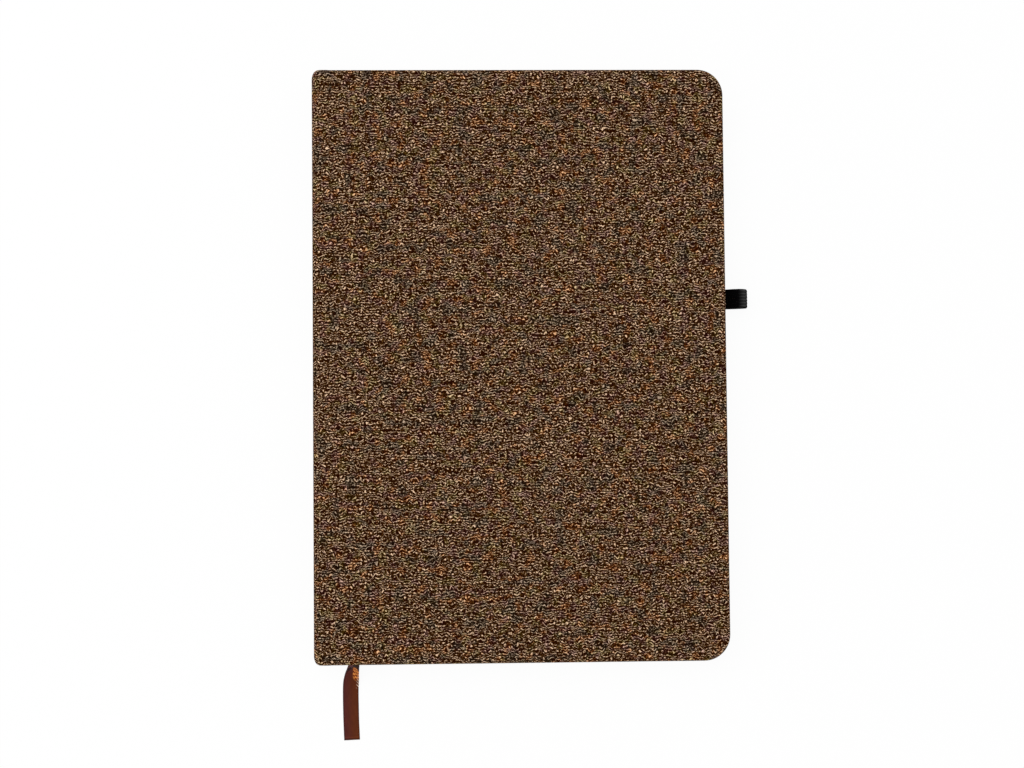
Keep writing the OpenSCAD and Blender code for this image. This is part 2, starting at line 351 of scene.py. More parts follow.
def elastic(settings, far_x):
    """Black knitted elastic: cords along it, with a painted highlight that makes them pale where it
    nears the fold at far_x.
    """
    f = Finish("black elastic")
    run = f.run("strip_run")
    x, y, _ = f.axes(run)
    stitch = x.wave(0.55 * MM).abs()
    cords = y.wave(2 * settings.width / settings.cords).abs()
    grain = f.noise(run, (1.6, 0.25, 1))
    # Millimetres short of the fold: a painted highlight turns the cords pale over the first ones,
    # and then fades out
    short = (far_x - f.axes(f.place())[0]) / MM
    fold_highlight = short.step(0.8, 1.3) * (1 - short.step(1.3, 4.2))
    ridge = (cords + (grain - 0.5) * 0.9).step(0.3, 0.95) * 0.75 + 0.25
    tone = f.mix(fold_highlight * ridge, settings.tone, settings.fold_highlight)
    level = cords * 0.6 + stitch * 0.2 + grain * 0.2
    return f.surface(
        Base_Color=tone, Roughness=0.85, Specular_IOR_Level=0.02, Normal=f.bump(level, 0.5, 0.1))


def satin(settings, far):
    """Brown satin ribbon of length far: weft ribs, dark edges, and painted light where it bends: a
    sheen, glints, shade along a crease and a shadow under the cover.
    """
    f = Finish("brown satin")
    run = f.run("strip_run")
    x, y, _ = f.axes(run)
    across = y / (settings.width / 2)
    # In millimetres: what is left up to the cut end, and the distance from the middle
    left, off = (far - x) / MM, y / MM
    rib = left.wave(0.3)
    grain = f.noise(run, (3, 0.12, 1))
    cloud = f.noise(run, (2.4, 1.2, 1))
    # A pale thread near the cut end, dark long edges and a dark cut edge
    hem = left.step(0.7, 0.9) * (1 - left.step(1.0, 1.3))
    edges = across.abs().step(0.72, 1.0)
    cut_edge = 1 - left.step(0.5, 0.8)
    level = (
        0.5 + rib * 0.06 + (grain - 0.5) * 0.4 + (cloud - 0.5) * 0.4 + hem * 0.3
        - edges * 0.3 - cut_edge * 0.3)
    shade = f.mix(across.step(-1.1, 0.7), from_screen(84, 35, 32), settings.tone)
    light = f.ramp(level, [(0.0, (0.45,) * 3), (0.5, (0.9,) * 3), (1.0, (1.5,) * 3)])
    tone = f.mix(1.0, shade, light, "MULTIPLY")
    # The bend at the tail: painted shade along a crease slanting at 22 degrees, and a painted
    # shadow under the cover
    crease = (left * 0.379 - off * 0.926 - 11.21).abs()
    painted_crease_shade = (1 - crease.step(0.2, 0.6)) * left.step(23, 25)
    tone = f.mix(painted_crease_shade, tone, from_screen(34, 8, 8))
    over = 1 - left.step(35, 38)
    # Painted shadow under the cover's edge
    painted_cover_shadow = left.step(30, 31.5) * across.step(0.0, 0.4) * over
    tone = f.mix(painted_cover_shadow * 0.8, tone, from_screen(24, 16, 10))
    # A painted sheen: a round, woven highlight beside the crease
    off_x, off_y = (left - 26.6) / 5.2, (across - 0.56) / 0.68
    painted_sheen_mask = 1 - (off_x * off_x + off_y * off_y).step(0.5, 1.05)
    weave = left.wave(2.2) * off.wave(2.2)
    sheen_spots = (weave + (cloud - 0.5) * 2.0).step(-0.4, 0.5)
    tone = f.mix(painted_sheen_mask, tone, f.mix(sheen_spots, from_screen(118, 42, 8), settings.sheen))
    # Painted glints: pale slanting threads along the right edge, and fainter ones over the crease
    slant_glints = (left + off * 1.1).wave(1.45).step(0.35, 0.95)
    edge = across.step(0.62, 0.85) * left.step(18, 19) * (1 - left.step(25, 27))
    tone = f.mix(slant_glints * edge * 0.85, tone, from_screen(240, 206, 180))
    fold = left.step(26, 28) * (1 - across.step(-0.4, 0.1)) * over
    tone = f.mix(slant_glints * fold * 0.5, tone, from_screen(170, 100, 104))
    return f.surface(
        Base_Color=tone, Roughness=0.5, Specular_IOR_Level=0.06, Normal=f.bump(level, 0.2, 0.06))


def laid_paper(shade):
    """Uncoated endpaper: faint fibres and soft mottling."""
    f = Finish("endpaper")
    place = f.place()
    fibre = f.noise(place, (0.5, 0.9, 0.5), detail=4.0, rough=0.6)
    cloud = f.noise(place, (9, 9, 9))
    dim = [part * 0.93 for part in shade]
    tone = f.ramp(fibre * 0.6 + cloud * 0.4, [(0.35, dim), (0.65, shade)])
    return f.surface(
        Base_Color=tone, Roughness=0.9, Specular_IOR_Level=0.2, Normal=f.bump(fibre, 0.12, 0.05))


def cut_pages(shade):
    """The leaves: pale faces, and at their cut edges painted shade, a darker line between leaves.
    """
    f = Finish("notebook leaves")
    place = f.place()
    # Painted shade: noise through the height darkens thin layers, for the lines between leaves
    leaf = f.noise(place, (FAR, FAR, 0.32), detail=3.0, rough=0.7)
    streak = f.noise(place, (14, 14, 0.15))
    level = leaf * 0.6 + streak * 0.4
    tone = f.ramp(level, [(0.3, [part * 0.72 for part in shade]), (0.6, shade)])
    return f.surface(
        Base_Color=tone, Roughness=0.92, Specular_IOR_Level=0.2, Normal=f.bump(level, 0.3, 0.08))


def grey_board():
    """Pressed grey board with flecks of waste paper."""
    f = Finish("grey board")
    place = f.place()
    pulp = f.noise(place, (2, 2, 0.4), detail=5.0, rough=0.65)
    chips = f.node(
        "TexVoronoi", {}, {"Vector": f.scaled(place, (1.2, 1.6, 0.6)), "Scale": 1.0})
    level = pulp * 0.75 + chips * 0.25
    tone = f.ramp(level, [(0.3, (0.19, 0.18, 0.16)), (0.6, (0.31, 0.29, 0.26))])
    return f.surface(Base_Color=tone, Roughness=0.95, Normal=f.bump(pulp, 0.3, 0.1))


def crash_cloth():
    """Open weave lining cloth, stiff with glue."""
    f = Finish("lining cloth")
    x, y, z = (part.wave(0.9 * MM).abs() for part in f.axes(f.place()))
    level = (x + y + z) / 3.0
    tone = f.ramp(level, [(0.2, (0.42, 0.39, 0.32)), (0.8, (0.66, 0.63, 0.55))])
    return f.surface(Base_Color=tone, Roughness=0.9, Normal=f.bump(level, 0.4, 0.15))


def band_thread(settings, tall):
    """Two coloured threads wound round a core of height tall."""
    f = Finish("band thread")
    run = f.run("strip_run")
    up, around, _ = f.axes(run)
    turn = (up * (math.pi * settings.turns / tall) + around * (0.35 / MM)).sine()
    strand = f.noise(run, (0.1, 0.5, 1))
    stripe = (turn + (strand - 0.5) * 0.6).step(-0.15, 0.15)
    tone = f.mix(stripe, settings.dark, settings.pale)
    return f.surface(
        Base_Color=tone, Roughness=0.6, Sheen_Weight=0.2, Normal=f.bump(strand, 0.4, 0.08))


# Shaping


def points_of(result):
    """The points among what an operator of bmesh made."""
    return [part for part in result["geom"] if isinstance(part, bmesh.types.BMVert)]


def thicken(bm, thick):
    """Gives a flat sheet a thickness, upwards."""
    grown = bmesh.ops.extrude_face_region(bm, geom=bm.faces[:], use_keep_orig=True)
    bmesh.ops.translate(bm, verts=points_of(grown), vec=(0, 0, thick))


def slab(long_cells, wide_cells):
    """A slab from 0 to 1 along X, from -1 to 1 across Y and from 0 to 1 in Z."""
    bm = bmesh.new()
    bmesh.ops.create_grid(bm, x_segments=long_cells, y_segments=wide_cells, size=0.5)
    thicken(bm, 1)
    for vert in bm.verts:
        vert.co.x += 0.5
        vert.co.y *= 2
    return bm


def fit(verts, lo, hi):
    """Fits the points of a unit cube or square between two corners."""
    for vert in verts:
        vert.co = [low + (part + 0.5) * (high - low) for low, part, high in zip(lo, vert.co, hi)]


def block(lo, hi):
    """A box between two corners."""
    bm = bmesh.new()
    bmesh.ops.create_cube(bm, size=1)
    fit(bm.verts, lo, hi)
    return bm


def bevelled(bm, geom, radius, segments, affect="EDGES"):
    bmesh.ops.bevel(
        bm, geom=geom, offset=radius, segments=segments, profile=0.5, affect=affect, material=-1)


def round_corners(bm, radius, segments):
    """Rounds the two upright edges of a box on the fore edge side."""
    uprights = []
    for edge in bm.edges:
        near, far = (vert.co for vert in edge.verts)
        if near.x > 0 and (far - near).xy.length < MM:
            uprights.append(edge)
    bevelled(bm, uprights, radius, segments)


def cut(bm, point, way, faces=None):
    """Cuts the given faces, or else the whole mesh, along a plane."""
    geom = [*bm.verts, *bm.edges, *bm.faces]
    if faces is not None:
        geom = list(dict.fromkeys(part for f in faces for part in (*f.verts, *f.edges, f)))
    bmesh.ops.bisect_plane(bm, geom=geom, plane_co=point, plane_no=way)


def turned_over(bm):
    """Turns a back cover's shape over to make the front cover's."""
    flip = Matrix.Translation((0, 0, CASE_T)) @ Matrix.Scale(-1, 4, (0, 0, 1))
    bmesh.ops.transform(bm, verts=bm.verts, matrix=flip)
    return bm


def made(name, bm, material, sharp=35):
    """A mesh piece from a finished bmesh, with sharp edges from an angle in degrees."""
    bmesh.ops.recalc_face_normals(bm, faces=bm.faces)
    mesh = bpy.data.meshes.new(name)
    bm.to_mesh(mesh)
    bm.free()
    mesh.materials.append(material)
    mesh.shade_smooth()
    mesh.set_sharp_from_angle(angle=math.radians(sharp))
    piece = bpy.data.objects.new(name, mesh)
    bpy.context.scene.collection.objects.link(piece)
    return piece


def ridden(piece, body, slot, *nodes):
    """Puts a piece on its body, in the place of its solids."""
    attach(piece, body)
    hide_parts(*nodes)


def bent(piece, side):
    """Bakes a piece's placement into its mesh, the same on either side."""
    if side == "front":
        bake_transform(piece)
    else:
        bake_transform(piece)


def smooth(share):
    """Eases a share in and out, within 0 and 1."""
    share = min(1.0, max(0.0, share))
    return share * share * (3 - 2 * share)


class Route:
    """A smooth line through points, with a tilt in degrees at each."""

    def __init__(self, points, tilts=None, step=0.8 * MM, most=10):
        tilts = tilts or [0.0] * len(points)
        self.points, self.tilts = [], []
        last = len(points) - 1
        for i in range(last):
            before, after = points[max(i - 1, 0)], points[min(i + 2, last)]
            start, end = points[i], points[i + 1]
            # A span is cut into parts of about a step, but into no more than most
            cuts = max(1, min(most, round((end - start).length / step)))
            for k in range(cuts):
                t = k / cuts
                self.points.append(self.between(before, start, end, after, t))
                self.tilts.append(tilts[i] + (tilts[i + 1] - tilts[i]) * smooth(t))
        self.points.append(points[last])
        self.tilts.append(tilts[last])
        self.lengths = [0.0]
        for start, end in zip(self.points, self.points[1:]):
            self.lengths.append(self.lengths[-1] + (end - start).length)

    @staticmethod
    def between(before, start, end, after, t):
        """A point on the curve from start to end. Each end's slope fits the shorter span."""
        span = (end - start).length
        slopes = []
        for back, ahead in ((before, end), (start, after)):
            way = ahead - back
            slopes.append(way.normalized() * span if way.length > 0 else end - start)
        a, b = slopes
        return (
            start * (2 * t**3 - 3 * t**2 + 1) + a * (t**3 - 2 * t**2 + t)
            + end * (3 * t**2 - 2 * t**3) + b * (t**3 - t**2))

    def at(self, share, side):
        """Point, direction across, face direction and run at a share of the points."""
        last = len(self.points) - 1
        i = round(share * last)
        way = (self.points[min(i + 1, last)] - self.points[max(i - 1, 0)]).normalized()
        wide = (side - way * side.dot(way)).normalized()
        wide = Matrix.Rotation(math.radians(-self.tilts[i]), 3, way) @ wide
        return self.points[i], wide, wide.cross(way), self.lengths[i]


def strip(route, width, thick, side, cells, profile=lambda across: 1.0):
    """A flat strip swept along a route. profile gives its share of the thickness across it."""
    bm = slab(len(route.points) - 1, cells)
    layer = bm.verts.layers.float_vector.new("strip_run")
    for vert in bm.verts:
        share, across, up = vert.co
        point, wide, face, far = route.at(share, side)
        lift = (up - 0.5) * thick * profile(across)
        vert.co = point + wide * across * width / 2 + face * lift
        vert[layer] = (far, across * width / 2, 0)
    return bm


# The cloth round the case


# Along the case's outer face from the middle of the spine: the flat stretch, the rounding after
# it, and the whole way to the board
FLAT_S = CASE_T / 2 - SPINE_R
ARC_S = math.pi / 2 * SPINE_R
HINGE_S = FLAT_S + ARC_S + BOARD_X - SPINE_X - SPINE_R

# The cloth is drawn with these shares of its thickness, clear of the board and the card
JOINT_SHARE, COVER_SHARE = 0.85, 0.98

# Faces along half of the case's cloth at the spine, and round a corner of the cover
JOINT_CELLS, CORNER_CELLS = 28, 16


def case_section(s):
    """Point (x, z) on the case's outer face and the way in, at s from the spine's middle."""
    if s <= FLAT_S:
        return SPINE_X, CASE_T / 2 - s, 1.0, 0.0
    if s <= FLAT_S + ARC_S:
        turn = (s - FLAT_S) / SPINE_R
        return (
            SPINE_X + SPINE_R * (1 - math.cos(turn)), SPINE_R * (1 - math.sin(turn)),
            math.cos(turn), math.sin(turn))
    return SPINE_X + SPINE_R + s - FLAT_S - ARC_S, 0.0, 0.0, 1.0


class Turnover:
    """How the cloth is turned in over the head and tail of the case."""

    # Rows of faces: half of the outer face, each rounding, the edge and the turned-in part
    STRAIGHT, ROUND, EDGE, BACK = 8, 4, 1, 3
    ROWS = STRAIGHT + 2 * ROUND + EDGE + BACK

    def __init__(self, cover):
        self.cover = cover

    def depth(self, s):
        """Thickness of the turned-in edge: over the card, in the joint, over the board."""
        cloth = self.cover.cloth
        spine_t = 2 * cloth + CARD_HI.x - CARD_LO.x
        joint_t = 2 * cloth
        card_ramp, board_ramp = 2 * cloth, 2.4 * cloth
        from_card = smooth((s - FLAT_S) / card_ramp)
        to_board = smooth((s - HINGE_S + board_ramp) / board_ramp)
        return spine_t + (joint_t - spine_t) * from_card + (SLAB_T - joint_t) * to_board

    def reach(self, x):
        """Half height of the case at x, with the spine's rounded corners."""
        r = self.cover.spine_corner
        away = max(0.0, r - (x - SPINE_X))
        return HALF_Y - r + math.sqrt(max(0.0, r * r - away * away))

    def fold(self, row, deep, high, inner):
        """Depth and y of the cloth at a row from the middle, inner metres inside its outer face."""
        r = min(self.cover.rim, deep / 2)
        small = r - inner
        start = row - self.STRAIGHT
        if start <= 0:
            return inner, (high - r) * row / self.STRAIGHT
        if start <= self.ROUND:
            turn = start / self.ROUND * math.pi / 2
            return r - small * math.cos(turn), high - r + small * math.sin(turn)
        start -= self.ROUND
        if start <= self.EDGE:
            return r + (deep - 2 * r) * start / self.EDGE, high - inner
        start -= self.EDGE
        if start <= self.ROUND:
            turn = start / self.ROUND * math.pi / 2
            return deep - r + small * math.sin(turn), high - r + small * math.cos(turn)
        back = (start - self.ROUND) / self.BACK
        return deep - inner, high - r - (self.cover.turn_in - r) * back


def spine_half(cover):
    """The cloth from the middle of the spine to a back cover's board, turned in at both ends."""
    turnover = Turnover(cover)
    wall = JOINT_SHARE * cover.cloth
    bm = slab(JOINT_CELLS, 2 * Turnover.ROWS)
    layer = bm.verts.layers.float_vector.new("cloth_run")
    for vert in bm.verts:
        share, across, inner = vert.co
        s = share * HINGE_S
        x, z, in_x, in_z = case_section(s)
        deep = turnover.depth(s)
        row = round(abs(across) * Turnover.ROWS)
        depth = turnover.fold(row, deep, 0, inner * wall)[0]
        high = turnover.reach(x + in_x * depth)
        y = turnover.fold(row, deep, high, inner * wall)[1]
        side = -1 if across < 0 else 1
        over = (y if depth <= deep / 2 else 2 * high - y) + depth
        vert.co = (x + in_x * depth, side * y, z + in_z * depth)
        vert[layer] = (-s, side * over, 0)
    return bm


def cover_skin(cover):
    """A back cover's cloth: over the board, round its rims and turned in on three sides."""
    bm = block((BOARD_X, -HALF_Y, 0), (FORE_X, HALF_Y, SLAB_T))
    round_corners(bm, cover.corner, CORNER_CELLS)
    spine_side = [f for f in bm.faces if f.calc_center_median().x < BOARD_X + MM]
    bmesh.ops.delete(bm, geom=spine_side, context="FACES")
    steep = math.radians(60)
    rims = [e for e in bm.edges if len(e.link_faces) == 2 and e.calc_face_angle() > steep]
    bevelled(bm, rims, cover.rim, Turnover.ROUND)
    top = SLAB_T - 0.001 * MM
    inside = [f for f in bm.faces if all(v.co.z > top for v in f.verts)]
    bmesh.ops.inset_region(
        bm, faces=inside, thickness=cover.turn_in - cover.rim, use_boundary=False,
        use_even_offset=True)
    bmesh.ops.delete(bm, geom=inside, context="FACES")
    return bm


def skin_run(cover, co):
    """The cloth's own coordinates on a back cover: x outwards from the spine's middle, y along."""
    side = -1 if co.y < 0 else 1
    mid_x, mid_y = FORE_X - cover.corner, HALF_Y - cover.corner
    out = Vector((co.x - mid_x, abs(co.y) - mid_y))
    if out.x > 0 and out.y > 0:
        inset, way = cover.corner - out.length, out.normalized()
    elif FORE_X - co.x < HALF_Y - abs(co.y):
        inset, way = FORE_X - co.x, Vector((1, 0))
    else:
        inset, way = HALF_Y - abs(co.y), Vector((0, 1))
    # Where the point lay before the cloth was rolled over the rim
    over = co.z if co.z <= SLAB_T / 2 else co.z + 2 * inset
    flat = Vector((co.x, abs(co.y))) + way * over
    return -(HINGE_S + flat.x - BOARD_X), side * flat.y, 0


def finish_cloth(bm, front):
    """Turns a back cover's cloth over for the front, where its run goes the other way."""
    if front:
        layer = bm.verts.layers.float_vector["cloth_run"]
        for vert in bm.verts:
            vert[layer] = (-vert[layer][0], vert[layer][1], 0)
        turned_over(bm)
    return bm


def cut_channel(bm, lo, high_y):
    """Opens the turned-in cloth where the pen loop's ends go in."""
    for point, way in (
            ((0, lo.y, 0), (0, 1, 0)), ((0, high_y, 0), (0, 1, 0)), ((0, 0, lo.z), (0, 0, 1))):
        cut(bm, point, way, [f for f in bm.faces if max(v.co.z for v in f.verts) > MM])
    gone = []
    for face in bm.faces:
        mid = face.calc_center_median()
        if mid.x > lo.x and lo.y < mid.y < high_y and mid.z > lo.z:
            gone.append(face)
    bmesh.ops.delete(bm, geom=gone, context="FACES")


# Operators


class NOTEBOOK_OT_stage(bpy.types.Operator):
    """Makes the camera, the lamp, the white surroundings and the floor"""

    bl_idname = "notebook.stage"
    bl_label = "Stage"

    # The camera's place, its turn in degrees and its lens in millimetres
    EYE, TURN, LENS = (-0.02825, -0.04006, 0.68394), (2.8439, -2.1374, -0.5221), 66.8
    # The lamp's place and its diameter
    LAMP, LAMP_SIZE = (-0.55, 0.25, 1.3), 1.4
    # How far the floor lies below the notebook, and how much of its own white the camera sees
    DROP, WHITE = 0.1 * MM, 0.94

    def execute(self, context):
        scene = context.scene
        settings = scene.notebook_stage
        scene.view_settings.view_transform = "Standard"
        self.camera(scene)
        self.surroundings(scene, settings.sky)
        self.lamp(scene, settings.lamp)
        self.floor(settings.floor)
        return {"FINISHED"}

    def camera(self, scene):
        data = bpy.data.cameras.new("camera")
        data.lens = self.LENS
        data.clip_start, data.clip_end = 0.01, 50
        camera = bpy.data.objects.new("camera", data)
        camera.location = self.EYE
        camera.rotation_euler = [math.radians(angle) for angle in self.TURN]
        scene.collection.objects.link(camera)
        scene.camera = camera

    @staticmethod
    def seen(f, glossy_share):
        """1 on what the camera sees, also through glass, and a share of it in reflections."""
        path = f.node("LightPath", {}, {}, "Is Camera Ray")
        glossy = path.out("Is Glossy Ray") * glossy_share
        return (path + glossy + path.out("Is Transmission Ray")).clamp()

    def surroundings(self, scene, level):
        f = Finish("white room", "worlds")
        scene.world = f.material
        strength = level + self.seen(f, 0.5) * (1 - level)
        shown = f.node("Background", {}, {"Color": (1, 1, 1, 1), "Strength": strength})
        f.ends(shown, "World")

    def lamp(self, scene, power):
        data = bpy.data.lights.new("large_lamp", "AREA")
        data.shape = "DISK"
        data.size = self.LAMP_SIZE
        data.energy = power
        lamp = bpy.data.objects.new("large_lamp", data)
        lamp.location = self.LAMP
        lamp.rotation_euler = (-Vector(self.LAMP)).to_track_quat("-Z", "Y").to_euler()
        scene.collection.objects.link(lamp)

    def floor(self, width):
        bm = bmesh.new()
        bmesh.ops.create_grid(bm, x_segments=1, y_segments=1, size=width / 2)
        bmesh.ops.translate(bm, verts=bm.verts, vec=(0, 0, -self.DROP))
        f = Finish("white floor")
        grain = f.noise(f.place(), (300, 300, FAR), detail=1.0)
        tone = f.ramp(grain, [(0.0, (0.97,) * 3), (1.0, (0.99,) * 3)])
        lit = f.node("BsdfDiffuse", {}, {"Color": tone}, "BSDF")
        white = f.node("Emission", {}, {"Color": (1, 1, 1, 1), "Strength": 1.0}, "Emission")
        f.ends(f.node("MixShader", {}, {0: self.seen(f, 1.0) * self.WHITE, 1: lit, 2: white}))
        made("floor", bm, f.material)


class NOTEBOOK_OT_ribbon(bpy.types.Operator):
    """Makes the ribbon marker, from the head of the pages to its cut end"""

    bl_idname = "notebook.ribbon"
    bl_label = "Ribbon marker"

    # The ribbon's way in millimetres: x from the spine's outer face, y and z
    HEAD = [
        (7.25, 102.1, 7.4), (7.25, 102.5, 7.5), (7.25, 102.7, 8.0), (7.25, 102.6, 9.5),
        (7.25, 102.5, 10.9), (7.25, 102.3, 11.4), (7.25, 101.8, 11.55), (7.35, 98, 11.55)]
    # On the way out at the tail: x, y, the share of the height that is left, and tilt in degrees
    TAIL = [
        (13.0, -94, 1, 0), (13.2, -101.5, 1, 0), (13.2, -103.2, 0.97, -10),
        (13.3, -104.4, 0.88, -22), (13.4, -105.3, 0.77, -34), (13.5, -106, 0.63, -42),
        (13.55, -106.8, 0.47, -47), (13.5, -107.8, 0.32, -48), (13.2, -109, 0.19, -39),
        (12.8, -110.4, 0.1, -23), (12.4, -112.8, 0.025, -5), (12.3, -116.2, 0, 0),
        (12.35, -121.2, 0, 0), (12.45, -126.2, 0, 0), (12.7, -132.8, 0, 0)]
    # Heights of its middle on the flyleaf and the surface, and points on its straight stretch
    TOP, BOTTOM = 11.55, 0.2
    RUN = 5

    def execute(self, context):
        settings = context.scene.notebook_ribbon
        start, end = self.HEAD[-1], self.TAIL[0]
        rows = [(*p, 0) for p in self.HEAD]
        for i in range(1, self.RUN + 1):
            share = i / (self.RUN + 1)
            rows.append((*(a + (b - a) * share for a, b in zip(start[:2], end[:2])), self.TOP, 0))
        for x, y, left, tilt in self.TAIL:
            rows.append((x, y, self.BOTTOM + (self.TOP - self.BOTTOM) * left, tilt))
        points = [Vector((SPINE_X + x * MM, y * MM, z * MM)) for x, y, z, _ in rows]
        route = Route(points, [row[3] for row in rows])
        far = route.lengths[-1]
        side = Vector((1, 0, 0))
        bm = strip(route, settings.width, settings.thick, side, 16, self.thinned)
        piece = made("ribbon_marker_satin", bm, satin(settings, far), sharp=40)
        ridden(piece, "book_block", "ribbon", "ribbon_marker")
        return {"FINISHED"}

    @staticmethod
    def thinned(across):
        """The ribbon thins towards its long edges."""
        return 1 - 0.35 * abs(across) ** 6


class NOTEBOOK_OT_covers(bpy.types.Operator):
    """Makes the tweed and the cloth of the two covers"""

    bl_idname = "notebook.covers"
    bl_label = "Cover cloth"

    def execute(self, context):
        cover, loop = context.scene.notebook_cover, context.scene.notebook_loop
        tweed_cloth = tweed(context.scene.notebook_tweed)
        for side in ("front", "back"):
            bm = cover_skin(cover)
            if side == "back":
                lo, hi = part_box("pen_loop")
                low_z = SLAB_T - 2 * loop.thick - CLEAR
                cut_channel(bm, Vector((lo.x, lo.y - CLEAR, low_z)), hi.y + CLEAR)
            bmesh.ops.recalc_face_normals(bm, faces=bm.faces)
            bmesh.ops.solidify(bm, geom=bm.faces[:], thickness=cover.cloth * COVER_SHARE)
            layer = bm.verts.layers.float_vector.new("cloth_run")
            for vert in bm.verts:
                vert[layer] = skin_run(cover, vert.co)
            finish_cloth(bm, side == "front")
            piece = made(f"{side}_cover_tweed", bm, tweed_cloth)
            ridden(piece, f"{side}_cover", "cover_cloth", f"{side}_cover_cloth")
        return {"FINISHED"}


class NOTEBOOK_OT_spine(bpy.types.Operator):
    """Makes the cloth round the spine"""

    bl_idname = "notebook.spine"
    bl_label = "Spine cloth"

    # Roundings up the spine to the start of a bend; the heights worked out from it go unused, and
    # nothing bends
    START = 1.5

    def execute(self, context):
        cover = context.scene.notebook_cover
        tweed_cloth = bpy.data.materials["tweed cloth"]
        nodes = {"front": ["front_hinge_cloth"], "back": ["back_hinge_cloth", "spine_cloth"]}
        for side in ("front", "back"):
            bm = finish_cloth(spine_half(cover), side == "front")
            piece = made(f"{side}_joint_tweed", bm, tweed_cloth, sharp=50)
            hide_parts(*nodes[side])
            board_z, spine_z = SLAB_T, self.START * SPINE_R
            if side == "front":
                board_z, spine_z = CASE_T - board_z, CASE_T - spine_z
            bent(piece, side)
        return {"FINISHED"}


class NOTEBOOK_OT_endpapers(bpy.types.Operator):
    """Makes the endpapers: pasted halves, free halves and the folds between them"""

    bl_idname = "notebook.endpapers"
    bl_label = "Endpapers"

    # Length and parts of the slope by which a pasted sheet dips between the turned-in edges
    RAMP, RAMP_CUTS = 1.2 * MM, 4
    # A fold reaches this far over the free half, and has this many parts round its half turn
    LAP, FOLD_CUTS = 0.02 * MM, 6
    # A stretch beside the pasted half, across it and in height, for a point that is worked out but
    # not used
    BEND_X, BEND_Z = 0.5 * MM, 0.1 * MM

    def execute(self, context):
        cover, paper = context.scene.notebook_cover, context.scene.notebook_paper
        material = laid_paper(paper.endpaper)
        strip_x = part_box("back_joint_strip")[1].x
        paste_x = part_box("back_pastedown")[0].x + CLEAR
        window = (strip_x, FORE_X - cover.turn_in, HALF_Y - cover.turn_in)
        for side in ("front", "back"):
            bm = self.sheet(paper, paste_x, SLAB_T)
            self.dip(bm, window, cover.cloth)
            thicken(bm, paper.thick)
            if side == "front":
                turned_over(bm)
            piece = made(f"{side}_pasted_endpaper", bm, material)
            ridden(piece, f"{side}_cover", "endpaper", f"{side}_pastedown")
            bm = self.sheet(paper, PAGES_LO.x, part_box(f"{side}_flyleaf")[0].z)
            thicken(bm, paper.thick)
            piece = made(f"{side}_free_endpaper", bm, material)
            ridden(piece, "book_block", "endpaper", f"{side}_flyleaf")
            self.fold(paper, side, material)
        return {"FINISHED"}

    @staticmethod
    def sheet(paper, left, low):
        """The plan of a sheet, with rounded fore edge corners."""
        bm = bmesh.new()
        bmesh.ops.create_grid(bm, x_segments=1, y_segments=1, size=0.5)
        fit(bm.verts, (left, PAGES_LO.y, low), (PAGES_HI.x, PAGES_HI.y, low))
        corners = [v for v in bm.verts if v.co.x > 0]
        bevelled(bm, corners, paper.corner, 12, "VERTICES")
        return bm

    def dip(self, bm, window, drop):
        """Lowers a sheet inside the window between the turned-in edges."""
        near_x, far_x, high_y = window
        for k in range(self.RAMP_CUTS + 1):
            part = k / self.RAMP_CUTS * self.RAMP
            cut(bm, (near_x + part, 0, 0), (1, 0, 0))
            cut(bm, (far_x - part, 0, 0), (1, 0, 0))
            cut(bm, (0, high_y - part, 0), (0, 1, 0))
            cut(bm, (0, part - high_y, 0), (0, 1, 0))
        for vert in bm.verts:
            inside = min(vert.co.x - near_x, far_x - vert.co.x, high_y - abs(vert.co.y))
            vert.co.z -= drop * smooth(inside / self.RAMP)

    def fold(self, paper, side, material):
        """The narrow fold of an endpaper, from its pasted half to its free half."""
        paste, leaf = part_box(f"{side}_pastedown"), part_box(f"{side}_flyleaf")
        half = paper.thick / 2
        paste_z = paste[0].z + half if side == "front" else paste[1].z - half
        leaf_z = leaf[0].z + half
        start = Vector((paste[0].x + CLEAR, 0, paste_z))
        end = Vector((leaf[0].x, 0, leaf_z))
        radius = abs(leaf_z - paste_z) / 2
        middle = Vector((end.x + self.LAP, 0, (paste_z + leaf_z) / 2))
        toward = 1 if paste_z > leaf_z else -1
        points = [start]
        for k in range(self.FOLD_CUTS + 1):
            turn = math.pi / self.FOLD_CUTS * k
            points.append(middle + Vector(
                (-radius * math.sin(turn), 0, toward * radius * math.cos(turn))))
        points.append(end)
        route = Route(points, step=0.2 * MM)
        bm = strip(route, 2 * PAGES_HI.y, paper.thick, Vector((0, 1, 0)), 2)
        piece = made(f"{side}_endpaper_fold", bm, material)
        block_at = (start.x - self.BEND_X, 0, start.z - toward * self.BEND_Z)
        bent(piece, side)


class NOTEBOOK_OT_pages(bpy.types.Operator):
    """Makes the stack of leaves"""

    bl_idname = "notebook.pages"
    bl_label = "Leaves"

    SEED = 7
    # The share of its pitch that a leaf fills
    FILL = 0.94

    def execute(self, context):
        paper = context.scene.notebook_paper
        draw = random.Random(self.SEED)
        pitch = (PAGES_HI.z - PAGES_LO.z) / paper.leaves
        bm = block(PAGES_LO, (PAGES_HI.x, PAGES_HI.y, PAGES_LO.z + self.FILL * pitch))
        round_corners(bm, paper.corner, 8)
        leaf = bm.verts[:] + bm.edges[:] + bm.faces[:]
        for i in range(1, paper.leaves):
            verts = points_of(bmesh.ops.duplicate(bm, geom=leaf))
            shift_x = -paper.stagger * draw.random()
            shift_y = paper.stagger * (draw.random() - 0.5)
            bmesh.ops.translate(bm, verts=verts, vec=(0, 0, i * pitch))
            fore = [v for v in verts if v.co.x > 0]
            bmesh.ops.translate(bm, verts=fore, vec=(shift_x, shift_y, 0))
        piece = made("page_leaves", bm, cut_pages(paper.tone))
        ridden(piece, "book_block", "pages", "page_block")
        return {"FINISHED"}


